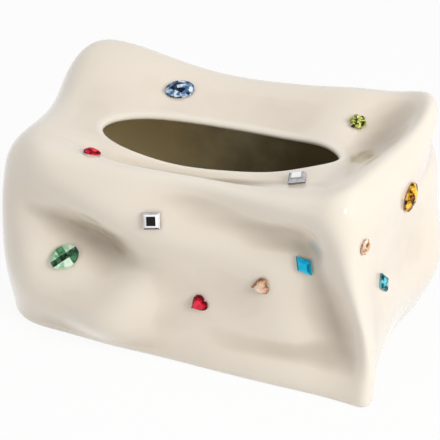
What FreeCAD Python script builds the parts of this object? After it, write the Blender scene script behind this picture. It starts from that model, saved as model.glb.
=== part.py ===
import FreeCAD, Part
import Sketcher
import math
import os
from collections import namedtuple

# A tissue box cover: a hand-pressed ceramic body, open below, with a long slot in its top,
# and faceted glass stones cemented to its outside.
# The origin is on the surface that the foot stands on, in the middle of the body. +X runs along
# the body, -Y is the front and +Z is up. Lengths are in millimetres and turns in degrees.

SIZES = {
    # the ceramic body
    "body_length": 284,
    "body_depth": 163,
    "body_height": 132,
    "wall": 5,
    "foot_round": 4,
    "foot_tuck": 2,
    "tuck_height": 27,
    "quiet_height": 42,
    "shoulder_right": 23,
    "shoulder_back": 23,
    "shoulder_left": 31,
    "shoulder_front_left": 36,
    "shoulder_front_right": 26,
    "foot_corner_front_right": 13,
    "foot_corner_back_right": 35,
    "foot_corner_back_left": 41,
    "foot_corner_front_left": 37,
    "top_corner_front_right": 32,
    "top_corner_back_right": 39,
    "top_corner_back_left": 45,
    "top_corner_front_left": 45,
    "dent_depth": 10.3,
    "rim_rise": 10.3,
    # the slot for the tissues
    "slot_length": 168,
    "slot_width": 60,
    "slot_across": 4,
    "slot_forward": 8,
    "slot_turn": 4,
    # the stones, by cut, and the cement under them
    "large_oval_length": 21,
    "large_oval_width": 15.5,
    "large_oval_height": 4.2,
    "large_oval_girdle": 1.2,
    "small_oval_length": 10.5,
    "small_oval_width": 8,
    "small_oval_height": 3,
    "small_oval_girdle": 0.9,
    "pear_length": 12,
    "pear_width": 9,
    "pear_height": 3.2,
    "pear_girdle": 1,
    "square_length": 11.5,
    "square_width": 11.5,
    "square_height": 3.4,
    "square_girdle": 1,
    "heart_length": 12,
    "heart_width": 12,
    "heart_height": 3.2,
    "heart_girdle": 1,
    "rhombus_length": 17,
    "rhombus_width": 11,
    "rhombus_height": 3,
    "rhombus_girdle": 1,
    "flower_length": 12,
    "flower_width": 12,
    "flower_height": 3.6,
    "flower_girdle": 1.2,
    "glue_film": 0.6,
    "glue_gap": 0.25,
}

# Columns of the body's skin along each long side, each end and round each corner.
LONG_COLUMNS = 16
END_COLUMNS = 8
CORNER_COLUMNS = 4
# Rows of the skin up the outer and the inner wall.
WALL_ROWS = 14
INNER_WALL_ROWS = 9

# Height, as a share of the body's, by which the foot's corners have opened into the top's.
CORNER_BLEND_SHARE = 0.75
# The most of a corner's radius that the shoulder takes up.
SHOULDER_LIMIT_SHARE = 0.9
# Steps round the shoulder, as shares of a quarter turn.
SHOULDER_SHARES = (0.09, 0.33, 0.67, 0.91)
INNER_SHOULDER_SHARES = (0.91, 0.5, 0.09)
# Steps from the shoulder to the slot over the top, and back again under it.
TOP_SHARES = (0.2, 0.4, 0.6, 0.8)
INNER_TOP_SHARES = (0.7, 0.35)
# The rolled lip: how far back from the slot, and how far down, in shares of the wall.
LIP_SHARES = ((0.9, 0), (0.25, 0), (-0.1, 0.5), (0.25, 1), (0.9, 1))
# The rounded edges of the foot: how far in, and how far up, in shares of the foot's round.
FOOT_SHARES = ((1, 0), (0.4, 0), (0, 0.6))
INNER_FOOT_SHARES = ((0.125, 1), (0.8, 0))

# Where the clay was pressed in or pulled out: the middle and the spread of each press in shares
# of half the length, half the depth and the height, then its push, sideways in shares of the
# dent depth and upwards in shares of the rim's rise.
PRESS_SHARES = {
    "hump_back_left": ((-0.74, 0.78, 1), (0.32, 0.43, 0.47), (-1.5, 0.2, 2.75)),
    "rise_back": ((0.45, 1.08, 1), (0.7, 0.355, 0.47), (0, 0, 2.9)),
    "rise_back_right": ((0.82, 0.785, 1), (0.2, 0.405, 0.39), (1, 0.2, 1.7)),
    "rise_right": ((0.95, -0.06, 1), (0.123, 0.633, 0.31), (0, 0, 1.7)),
    "lift_right": ((0.615, -0.06, 1), (0.174, 0.38, 0.31), (0, 0, 0.7)),
    "groove_right": ((0.71, 0.48, 1), (0.1, 0.36, 0.31), (0, 0, -1.4)),
    "rise_front_right": ((0.76, -0.785, 1), (0.232, 0.253, 0.31), (0, 0, 0.5)),
    "rise_front": ((-0.25, -0.835, 1), (0.42, 0.177, 0.31), (0, 0, 0.65)),
    "shoulder_roll": ((0.4, -1, 1), (0.36, 0.2, 0.1), (0, -0.6, 0)),
    "crease_front": ((-0.1, -0.57, 1), (0.3, 0.05, 0.31), (0, 0, -1.1)),
    "rise_front_left": ((-0.855, -0.57, 1), (0.217, 0.506, 0.31), (-0.2, 0, 0.8)),
    "ridge_lean": ((0.99, -1, 0.9), (0.275, 0.506, 0.28), (-1.75, 0.5, 0)),
    "ridge_crest": ((0.96, -1, 0.52), (0.07, 0.3, 0.28), (0.5, -0.8, 0)),
    "ridge_foot": ((0.97, -1, 0), (0.145, 0.253, 0.156), (0.45, -0.3, 0)),
    "foot_front": ((0.4, -1, 0), (0.45, 0.253, 0.12), (0, -0.45, 0)),
    "front_dish": ((0.42, -1.05, 0.5), (0.36, 0.45, 0.23), (0, 1.1, 0)),
    "groove_top": ((0.69, -1.05, 0.7), (0.1, 0.45, 0.12), (0, 0.7, 0)),
    "groove_middle": ((0.77, -1.05, 0.48), (0.12, 0.45, 0.14), (0, 1.1, 0)),
    "groove_foot": ((0.83, -1.05, 0.27), (0.12, 0.45, 0.12), (0, 1.2, 0)),
    "shoulder_undercut": ((0.1, -1.05, 0.87), (0.26, 0.45, 0.08), (0, 1.5, 0)),
    "arch_undercut": ((0.5, -1.05, 0.785), (0.18, 0.45, 0.085), (0, 1.3, 0)),
    "lens_hollow": ((0.6, -1.05, 0.18), (0.22, 0.45, 0.05), (0, 0.45, 0)),
    "upper_lobe": ((-0.35, -1.05, 0.8), (0.18, 0.45, 0.12), (0, -0.3, 0)),
    "valley_start": ((-0.86, -1.08, 0.8), (0.11, 0.506, 0.08), (0, 0.8, 0)),
    "valley_upper": ((-0.67, -1.08, 0.68), (0.11, 0.506, 0.08), (0, 0.9, 0)),
    "valley_lower": ((-0.51, -1.08, 0.59), (0.11, 0.506, 0.08), (0, 1.2, 0)),
    "valley_pit": ((-0.38, -1.08, 0.53), (0.11, 0.506, 0.08), (0, 1.5, 0)),
    "left_lobe": ((-0.78, -1.08, 0.34), (0.13, 0.506, 0.12), (0, -0.8, 0)),
    "cheek_top": ((-0.22, -1.08, 0.34), (0.09, 0.506, 0.09), (0, -0.8, 0)),
    "cheek_middle": ((-0.34, -1.08, 0.2), (0.12, 0.506, 0.1), (0, -1.1, 0)),
    "cheek_foot": ((-0.45, -1.08, 0.18), (0.16, 0.506, 0.08), (0, -0.5, 0)),
    "left_bulge": ((-1.01, -0.38, 0.55), (0.217, 0.633, 0.25), (-0.6, -0.2, 0)),
    "left_dish": ((-1.01, 0.3, 0.6), (0.29, 0.35, 0.25), (0.9, 0, 0)),
    "back_dish": ((-0.145, 1.08, 0.47), (0.435, 0.506, 0.27), (0, -0.35, 0)),
    "back_dent": ((0.51, 1.08, 0.66), (0.19, 0.506, 0.125), (0, -0.5, 0)),
    "back_bulge": ((0.43, 1.08, 0.22), (0.29, 0.506, 0.14), (0, 0.4, 0)),
    "right_dish": ((1.01, -0.05, 0.586), (0.29, 0.43, 0.234), (-0.85, 0, 0)),
    "right_hollow": ((1.01, -0.72, 0.45), (0.217, 0.22, 0.24), (-0.75, 0, 0)),
    "right_pinch": ((1.01, 0.785, 0.81), (0.145, 0.28, 0.06), (-1.2, -0.3, 0)),
    "right_low_bulge": ((1.01, 0.835, 0.27), (0.174, 0.38, 0.16), (1.1, 0, 0)),
    "right_foot_tuck": ((1.01, 0.1, 0), (0.174, 0.5, 0.16), (-1, 0, 0)),
}

# The crown of each cut above its girdle: rings as shares of the outline and of the crown's height.
CROWN_SHARES = {
    "large_oval": ((0.88, 0.5), (0.6, 1)),
    "small_oval": ((0.86, 0.6), (0.55, 1)),
    "pear": ((0.85, 0.5), (0.55, 1)),
    "square": ((0.8, 0.5), (0.6, 1)),
    "heart": ((0.66, 1),),
    "rhombus": ((0.82, 0.5), (0.5, 1)),
    "flower": ((0.85, 0.5), (0.45, 1)),
}
OVAL_SIDES = 16
PEAR_SIDES = 16
HEART_SIDES = 20
PETALS = 6
SIDES_PER_PETAL = 4
# How deep the gaps between the petals are, how sharp the pear's point is, and the heart's curve,
# in shares of the outline.
PETAL_SHARE = 0.36
PEAR_POINT_SHARE = 0.5
HEART_SHARES = (0.85, -0.22, -0.1, -0.04)
# The cement's outline as a share of the stone's, and how much of the wall its blank could reach.
GLUE_OUTLINE_SHARE = 0.92
GLUE_DEPTH_SHARE = 0.75
# How finely the skin under a stone is looked at for its highest point, and the cuts with no corners there.
SEAT_STEPS = 6
CUTS_WITHIN_AN_OVAL = ("large_oval", "small_oval", "pear", "rhombus")

# Each stone's cut, its place in shares of the way round the skin and of the way up and over it,
# and its turn. The last eight are on the back and the left end.
STONE_PLACE_SHARES = {
    "blue_oval_stone": ("large_oval", 0.441, 0.514, 34),
    "peridot_flower_stone": ("flower", 0.234, 0.508, 14),
    "red_pear_stone": ("pear", 0.773, 0.452, 22),
    "clear_square_top_stone": ("square", 0.989, 0.53, 5),
    "clear_square_front_stone": ("square", 0.839, 0.376, 4),
    "green_oval_stone": ("large_oval", 0.762, 0.248, 32),
    "red_heart_stone": ("heart", 0.875, 0.19, -55),
    "peach_heart_stone": ("heart", 0.928, 0.26, -81),
    "aqua_rhombus_stone": ("rhombus", 0.97, 0.312, -52),
    "amber_oval_stone": ("large_oval", 0.131, 0.349, 78),
    "peach_oval_stone": ("small_oval", 0.044, 0.345, 55),
    "teal_rhombus_stone": ("rhombus", 0.081, 0.233, -77),
    "back_amber_oval_stone": ("large_oval", 0.287, 0.302, 22),
    "back_clear_square_stone": ("square", 0.341, 0.196, 8),
    "back_red_heart_stone": ("heart", 0.383, 0.334, 26),
    "back_aqua_rhombus_stone": ("rhombus", 0.427, 0.224, -35),
    "back_green_oval_stone": ("large_oval", 0.5, 0.239, 61),
    "left_blue_oval_stone": ("large_oval", 0.583, 0.287, 75),
    "left_peach_heart_stone": ("heart", 0.617, 0.171, -15),
    "left_red_pear_stone": ("pear", 0.640, 0.300, 110),
}

doc = FreeCAD.newDocument("tissue_box_cover")
sheet = doc.addObject("Spreadsheet::Sheet", "sizes")
for row, (alias, value) in enumerate(SIZES.items(), start=1):
    sheet.set("A%d" % row, alias)
    sheet.set("B%d" % row, str(value))
    sheet.setAlias("B%d" % row, alias)
doc.recompute()

Vector = FreeCAD.Vector
UP = Vector(0, 0, 1)


def size(alias):
    return float(getattr(sheet, alias))


def ease(way):
    """A step from 0 to 1 with soft ends."""
    way = min(max(way, 0.0), 1.0)
    return way * way * (3 - 2 * way)


def heading(turn):
    return Vector(math.cos(turn), math.sin(turn), 0)


# One column of the skin: its places in plan at the foot and under the shoulder, the way out from
# the wall, the shoulder's radius there, and its place and way out on the slot's edge.
Column = namedtuple("Column", "foot top out shoulder lip lip_out")


def plan(level):
    """Places and ways out round the plan, anticlockwise from the front right corner."""
    half_length = size("body_length") / 2
    half_depth = size("body_depth") / 2
    corners = (("front_right", 1, -1), ("back_right", 1, 1), ("back_left", -1, 1), ("front_left", -1, -1))
    arcs = []
    for name, side_x, side_y in corners:
        radius = size(level + "_corner_" + name)
        arcs.append((Vector(side_x * (half_length - radius), side_y * (half_depth - radius), 0), radius))
    places = []
    for k, (centre, radius) in enumerate(arcs):
        start_turn = (k - 1) * math.pi / 2
        for step in range(CORNER_COLUMNS):
            out = heading(start_turn + (step + 0.5) / CORNER_COLUMNS * math.pi / 2)
            places.append((centre + out * radius, out, radius))
        out = heading(start_turn + math.pi / 2)
        next_centre, next_radius = arcs[(k + 1) % len(arcs)]
        start = centre + out * radius
        end = next_centre + out * next_radius
        count = LONG_COLUMNS if k % 2 else END_COLUMNS
        for step in range(count):
            places.append((start + (end - start) * ((step + 0.5) / count), out, None))
    return places


def slot_edge(place):
    """The place on the slot's oval that faces a place on the plan, and the way out from it."""
    half_length = size("slot_length") / 2
    half_width = size("slot_width") / 2
    turn = math.atan2(place.y / size("body_depth"), place.x / size("body_length"))
    point = Vector(half_length * math.cos(turn), half_width * math.sin(turn), 0)
    out = Vector(math.cos(turn) / half_length, math.sin(turn) / half_width, 0).normalize()
    swing = FreeCAD.Rotation(UP, size("slot_turn"))
    centre = Vector(size("slot_across"), -size("slot_forward"), 0)
    return centre + swing.multVec(point), swing.multVec(out)


def columns():
    made = []
    for (foot, out, _), (top, _, radius) in zip(plan("foot"), plan("top")):
        along = ease(top.x / size("body_length") + 0.5)
        shoulder_front = (size("shoulder_front_left")
                          + (size("shoulder_front_right") - size("shoulder_front_left")) * along)
        shoulder = (max(out.x, 0) ** 2 * size("shoulder_right") + min(out.x, 0) ** 2 * size("shoulder_left")
                    + max(out.y, 0) ** 2 * size("shoulder_back") + min(out.y, 0) ** 2 * shoulder_front)
        if radius:
            shoulder = min(shoulder, SHOULDER_LIMIT_SHARE * radius)
        made.append(Column(foot, top, out, shoulder, *slot_edge(top)))
    return made


def wall_pole(column, inset, height):
    opened = ease(height / (CORNER_BLEND_SHARE * size("body_height")))
    place = column.foot + (column.top - column.foot) * opened - column.out * inset
    return Vector(place.x, place.y, height)


def top_pole(column, way, height, back):
    """A place on the way from the shoulder to the slot, which ends a little back from its edge."""
    start = column.top - column.out * column.shoulder
    end = column.lip + column.lip_out * back
    place = start + (end - start) * way
    return Vector(place.x, place.y, height)


def section(column):
    """Poles from the outer edge of the foot, up the wall, over the top, round the lip and back down."""
    wall = size("wall")
    rounding = size("foot_round")
    tuck = size("foot_tuck")
    height = size("body_height")
    spring = height - column.shoulder
    low = FOOT_SHARES[0][0] * 2 * rounding

    def tucked(level):
        return tuck * (1 - ease(level / size("tuck_height")))

    poles = [wall_pole(column, tuck + inward * rounding, up * rounding) for inward, up in FOOT_SHARES]
    for row in range(WALL_ROWS):
        level = low + (spring - low) * row / WALL_ROWS
        poles.append(wall_pole(column, tucked(level), level))
    for share in SHOULDER_SHARES:
        turn = share * math.pi / 2
        poles.append(wall_pole(column, column.shoulder * (1 - math.cos(turn)),
                               spring + column.shoulder * math.sin(turn)))
    poles += [top_pole(column, way, height, wall) for way in TOP_SHARES]
    poles += [top_pole(column, 1, height - down * wall, back * wall) for back, down in LIP_SHARES]
    poles += [top_pole(column, way, height - wall, wall) for way in INNER_TOP_SHARES]
    inner = column.shoulder - wall
    for share in INNER_SHOULDER_SHARES:
        turn = share * math.pi / 2
        poles.append(wall_pole(column, wall + inner * (1 - math.cos(turn)), spring + inner * math.sin(turn)))
    for row in range(INNER_WALL_ROWS - 1, 0, -1):
        level = low + (spring - low) * row / INNER_WALL_ROWS
        poles.append(wall_pole(column, wall + tucked(level), level))
    poles += [wall_pole(column, tuck + wall + inward * rounding, up * rounding)
              for inward, up in INNER_FOOT_SHARES]
    return poles


def pressed(pole):
    """The pole moved by every press, each fading as a bell from its middle. The foot stays flat."""
    scale = Vector(size("body_length") / 2, size("body_depth") / 2, size("body_height"))
    quiet = ease(pole.z / size("quiet_height"))
    moved = Vector(pole)
    for middle, spread, push in PRESS_SHARES.values():
        far = sum(((pole[k] / scale[k] - middle[k]) / spread[k]) ** 2 for k in range(3))
        force = math.exp(-far / 2)
        moved += Vector(push[0] * size("dent_depth"), push[1] * size("dent_depth"),
                        push[2] * size("rim_rise") * quiet) * force
    return moved


def centred(net):
    """The net moved so that the origin is under the middle of it."""
    every = [pole for poles in net for pole in poles]
    middle_x = (min(p.x for p in every) + max(p.x for p in every)) / 2
    middle_y = (min(p.y for p in every) + max(p.y for p in every)) / 2
    return [[pole - Vector(middle_x, middle_y, 0) for pole in poles] for poles in net]


def skin_surface():
    """One smooth cubic surface, closed round the plan, from the foot's outer edge to its inner edge."""
    net = centred([[pressed(pole) for pole in section(column)] for column in columns()])
    # The closed surface starts at its second column, so the last goes first.
    net = net[-1:] + net[:-1]
    round_count = len(net)
    up_count = len(net[0])
    skin = Part.BSplineSurface()
    skin.buildFromPolesMultsKnots(
        net, [1] * (round_count + 1), [4] + [1] * (up_count - 4) + [4],
        [k / round_count for k in range(round_count + 1)],
        [k / (up_count - 3) for k in range(up_count - 2)], True, False, 3, 3)
    return skin


def make_body(skin):
    """The skin closed by the flat ring that the body stands on."""
    face = skin.toShape()
    rims = sorted((edge for edge in face.Edges if edge.Closed), key=lambda edge: -edge.Length)
    ring = Part.Face([Part.Wire([rims[0]]), Part.Wire([rims[1]])])
    shell = Part.makeShell([face, ring])
    shell.sewShape()
    solid = Part.makeSolid(shell)
    if solid.Volume < 0:
        solid.reverse()
    body = doc.addObject("Part::Feature", "ceramic_body")
    body.Shape = solid
    body.Placement = FreeCAD.Placement()
    return body


def oval_outline(sides):
    return [tuple(heading(2 * math.pi * k / sides))[:2] for k in range(sides)]


def pear_outline():
    """An oval whose far end narrows to a point."""
    points = []
    for x, y in oval_outline(PEAR_SIDES):
        points.append((x, y * (1 - PEAR_POINT_SHARE * (1 + x) / 2)))
    return points


def heart_outline():
    """The cubed-sine heart curve, with its point down."""
    points = []
    for k in range(HEART_SIDES):
        turn = 2 * math.pi * k / HEART_SIDES
        points.append((-math.sin(turn) ** 3,
                       sum(part * math.cos((n + 1) * turn) for n, part in enumerate(HEART_SHARES))))
    return points


def flower_outline():
    count = PETALS * SIDES_PER_PETAL
    points = []
    for k, (x, y) in enumerate(oval_outline(count)):
        reach = 1 - PETAL_SHARE * (1 - math.cos(2 * math.pi * k / SIDES_PER_PETAL)) / 2
        points.append((x * reach, y * reach))
    return points


def fitted(points):
    """The outline moved and stretched so that it reaches from -1 to 1 both ways."""
    spans = []
    for k in range(2):
        values = [point[k] for point in points]
        spans.append(((max(values) + min(values)) / 2, (max(values) - min(values)) / 2))
    return [tuple((point[k] - spans[k][0]) / spans[k][1] for k in range(2)) for point in points]


OUTLINE_SHARES = {
    "large_oval": fitted(oval_outline(OVAL_SIDES)),
    "small_oval": fitted(oval_outline(OVAL_SIDES)),
    "pear": fitted(pear_outline()),
    "square": [(1, 1), (-1, 1), (-1, -1), (1, -1)],
    "heart": fitted(heart_outline()),
    "rhombus": [(1, 0), (0, 1), (-1, 0), (0, -1)],
    "flower": fitted(flower_outline()),
}


def outline_sketch(body, name, cut, outline_share, level):
    """A stone's outline at a share of its full size, at a level above its flat back."""
    sketch = body.newObject("Sketcher::SketchObject", name)
    plane = [feature for feature in body.Origin.OriginFeatures if feature.Role == "XY_Plane"]
    sketch.AttachmentSupport = [(plane[0], "")]
    sketch.MapMode = "FlatFace"
    if level:
        sketch.setExpression("AttachmentOffset.Base.z", level)
    shares = [(x * outline_share, y * outline_share) for x, y in OUTLINE_SHARES[cut]]
    half_length = size(cut + "_length") / 2
    half_width = size(cut + "_width") / 2
    points = [Vector(x * half_length, y * half_width, 0) for x, y in shares]
    count = len(points)
    sketch.addGeometry([Part.LineSegment(points[k], points[(k + 1) % count]) for k in range(count)])
    constraints = [Sketcher.Constraint("Coincident", k, 2, (k + 1) % count, 1) for k in range(count)]
    for k, point in enumerate(points):
        constraints.append(Sketcher.Constraint("DistanceX", -1, 1, k, 1, point.x))
        constraints.append(Sketcher.Constraint("DistanceY", -1, 1, k, 1, point.y))
    sketch.addConstraint(constraints)
    for k, (x, y) in enumerate(shares):
        sketch.setExpression("Constraints[%d]" % (count + 2 * k), "sizes.%s_length / 2 * %.9f" % (cut, x))
        sketch.setExpression("Constraints[%d]" % (count + 2 * k + 1), "sizes.%s_width / 2 * %.9f" % (cut, y))
    return sketch


def make_stone(label, cut, seat):
    """A flat-backed stone: a straight girdle, and a crown of flat facets up to its table."""
    body = doc.addObject("PartDesign::Body", label)
    girdle_level = "sizes.%s_girdle" % cut
    outline = outline_sketch(body, label + "_outline", cut, 1, girdle_level)
    rings = []
    for k, (outline_share, height_share) in enumerate(CROWN_SHARES[cut]):
        level = "%s + (sizes.%s_height - %s) * %g" % (girdle_level, cut, girdle_level, height_share)
        rings.append(outline_sketch(body, "%s_ring_%d" % (label, k + 1), cut, outline_share, level))
    girdle = body.newObject("PartDesign::Pad", label + "_girdle")
    girdle.Profile = outline
    girdle.Reversed = True
    girdle.setExpression("Length", girdle_level)
    crown = body.newObject("PartDesign::AdditiveLoft", label + "_crown")
    crown.Profile = outline
    crown.Sections = rings
    crown.Ruled = True
    body.Placement = seat
    return body


def make_glue(label, cut, seat, ceramic):
    """The cement under a stone: flat against its back, shaped by the skin below and just clear of it."""
    lift = seat.Rotation.multVec(UP) * size("glue_gap")
    blank = doc.addObject("PartDesign::Body", label + "_blank")
    outline = outline_sketch(blank, label + "_outline", cut, GLUE_OUTLINE_SHARE, None)
    pad = blank.newObject("PartDesign::Pad", label + "_pad")
    pad.Profile = outline
    pad.Reversed = True
    pad.setExpression("Length", "sizes.wall * %g" % GLUE_DEPTH_SHARE)
    blank.Placement = FreeCAD.Placement(seat.Base - lift, seat.Rotation)
    glue = doc.addObject("Part::Cut", label)
    glue.Base = blank
    glue.Tool = ceramic
    glue.Placement = FreeCAD.Placement(lift, FreeCAD.Rotation())
    return glue


def stone_seat(skin, cut, round_share, up_share, turn):
    """Where a stone's flat back lies: square to the skin, a film of cement above its highest point."""
    middle = skin.value(round_share, up_share)
    along_round = skin.getDN(round_share, up_share, 1, 0)
    along_up = skin.getDN(round_share, up_share, 0, 1)
    out = along_round.cross(along_up).normalize()
    east = Vector(along_round).normalize()
    facing = FreeCAD.Rotation(out, turn)
    length_way = facing.multVec(east)
    width_way = out.cross(length_way)
    half_length = size(cut + "_length") / 2
    half_width = size(cut + "_width") / 2
    reach = math.hypot(half_length, half_width)
    highest = 0.0
    for i in range(-SEAT_STEPS, SEAT_STEPS + 1):
        for j in range(-SEAT_STEPS, SEAT_STEPS + 1):
            near = skin.value(round_share + i / SEAT_STEPS * reach / along_round.Length,
                              up_share + j / SEAT_STEPS * reach / along_up.Length) - middle
            along = abs(near.dot(length_way)) / half_length
            across = abs(near.dot(width_way)) / half_width
            reached = math.hypot(along, across) if cut in CUTS_WITHIN_AN_OVAL else max(along, across)
            if reached <= 1:
                highest = max(highest, near.dot(out))
    base = middle + out * (highest + size("glue_film"))
    return FreeCAD.Placement(base, FreeCAD.Rotation(length_way, width_way, out, "ZXY"))


skin = skin_surface()
ceramic_body = make_body(skin)
sub_parts = [ceramic_body]
for label, (cut, round_share, up_share, turn) in STONE_PLACE_SHARES.items():
    seat = stone_seat(skin, cut, round_share, up_share, turn)
    sub_parts.append(make_stone(label, cut, seat))
    sub_parts.append(make_glue(label.replace("_stone", "_glue"), cut, seat, ceramic_body))
doc.recompute()

for item in doc.Objects:
    if "Invalid" in item.State or "Error" in item.State:
        raise RuntimeError("%s could not be made: %s" % (item.Label, item.State))
for part in sub_parts:
    if part.Shape.isNull() or not part.Shape.isValid() or len(part.Shape.Solids) != 1:
        raise RuntimeError("%s is not one sound solid" % part.Label)

os.makedirs("parts", exist_ok=True)
for part in sub_parts:
    part.Shape.exportStep("parts/%s.step" % part.Label)
print("%d pieces, body %.0f cm3" % (len(sub_parts), ceramic_body.Shape.Volume / 1000))
print(ceramic_body.Shape.BoundBox)
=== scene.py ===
import itertools
import bpy
import numpy as np
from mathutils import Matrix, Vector


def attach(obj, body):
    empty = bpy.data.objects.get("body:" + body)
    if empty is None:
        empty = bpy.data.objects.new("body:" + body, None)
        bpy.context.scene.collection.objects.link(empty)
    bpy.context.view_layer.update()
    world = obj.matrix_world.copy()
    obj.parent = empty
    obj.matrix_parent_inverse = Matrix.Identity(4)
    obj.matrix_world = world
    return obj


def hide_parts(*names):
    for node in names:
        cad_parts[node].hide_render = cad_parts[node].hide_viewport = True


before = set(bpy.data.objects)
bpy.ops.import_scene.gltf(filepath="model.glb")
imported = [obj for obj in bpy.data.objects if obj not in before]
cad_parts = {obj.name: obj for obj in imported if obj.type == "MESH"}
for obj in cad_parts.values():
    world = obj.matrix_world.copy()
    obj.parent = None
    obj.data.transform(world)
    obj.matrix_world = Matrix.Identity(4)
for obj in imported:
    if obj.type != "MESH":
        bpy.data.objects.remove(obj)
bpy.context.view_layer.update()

# The ceramic body. One hand-pressed earthenware shell, open below, with a long slot in its top. It is
# dipped in a thick cream glaze, wiped clean on the ring that it stands on, and fired to a high gloss.
# Everything else is fixed to it. +X runs along it, -Y is its front. Lengths are in metres.

BODY = np.array((0.284, 0.163, 0.132))
WALL = 0.005
FOOT_ROUND = 0.004
FOOT_TUCK = 0.002
TUCK_HEIGHT = 0.027
QUIET_HEIGHT = 0.042
DENT_DEPTH = 0.0103
RIM_RISE = 0.0103
# Corner radii from the front right, anticlockwise, and the shoulder's radius on each side.
FOOT_CORNERS = (0.013, 0.035, 0.041, 0.037)
TOP_CORNERS = (0.032, 0.039, 0.045, 0.045)
SHOULDER_RIGHT, SHOULDER_BACK, SHOULDER_LEFT = 0.023, 0.023, 0.031
SHOULDER_FRONT_LEFT, SHOULDER_FRONT_RIGHT = 0.036, 0.026
SLOT = np.array((0.168, 0.060))
SLOT_CENTRE = np.array((0.004, -0.008))
SLOT_TURN = np.radians(4)

# Columns of poles along each long side, each end and round each corner, and rows up each wall.
LONG_COLUMNS, END_COLUMNS, CORNER_COLUMNS = 16, 8, 4
WALL_ROWS, INNER_WALL_ROWS = 14, 9
CORNER_BLEND_SHARE = 0.75
SHOULDER_LIMIT_SHARE = 0.9
SHOULDER_SHARES = np.array((0.09, 0.33, 0.67, 0.91))
INNER_SHOULDER_SHARES = np.array((0.91, 0.5, 0.09))
TOP_SHARES = (0.2, 0.4, 0.6, 0.8)
INNER_TOP_SHARES = (0.7, 0.35)
# How far back from the slot, and down, the rolled lip goes, and how far in, and up, the foot's edges.
LIP_SHARES = ((0.9, 0), (0.25, 0), (-0.1, 0.5), (0.25, 1), (0.9, 1))
FOOT_SHARES = ((1, 0), (0.4, 0), (0, 0.6))
INNER_FOOT_SHARES = ((0.125, 1), (0.8, 0))

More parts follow.
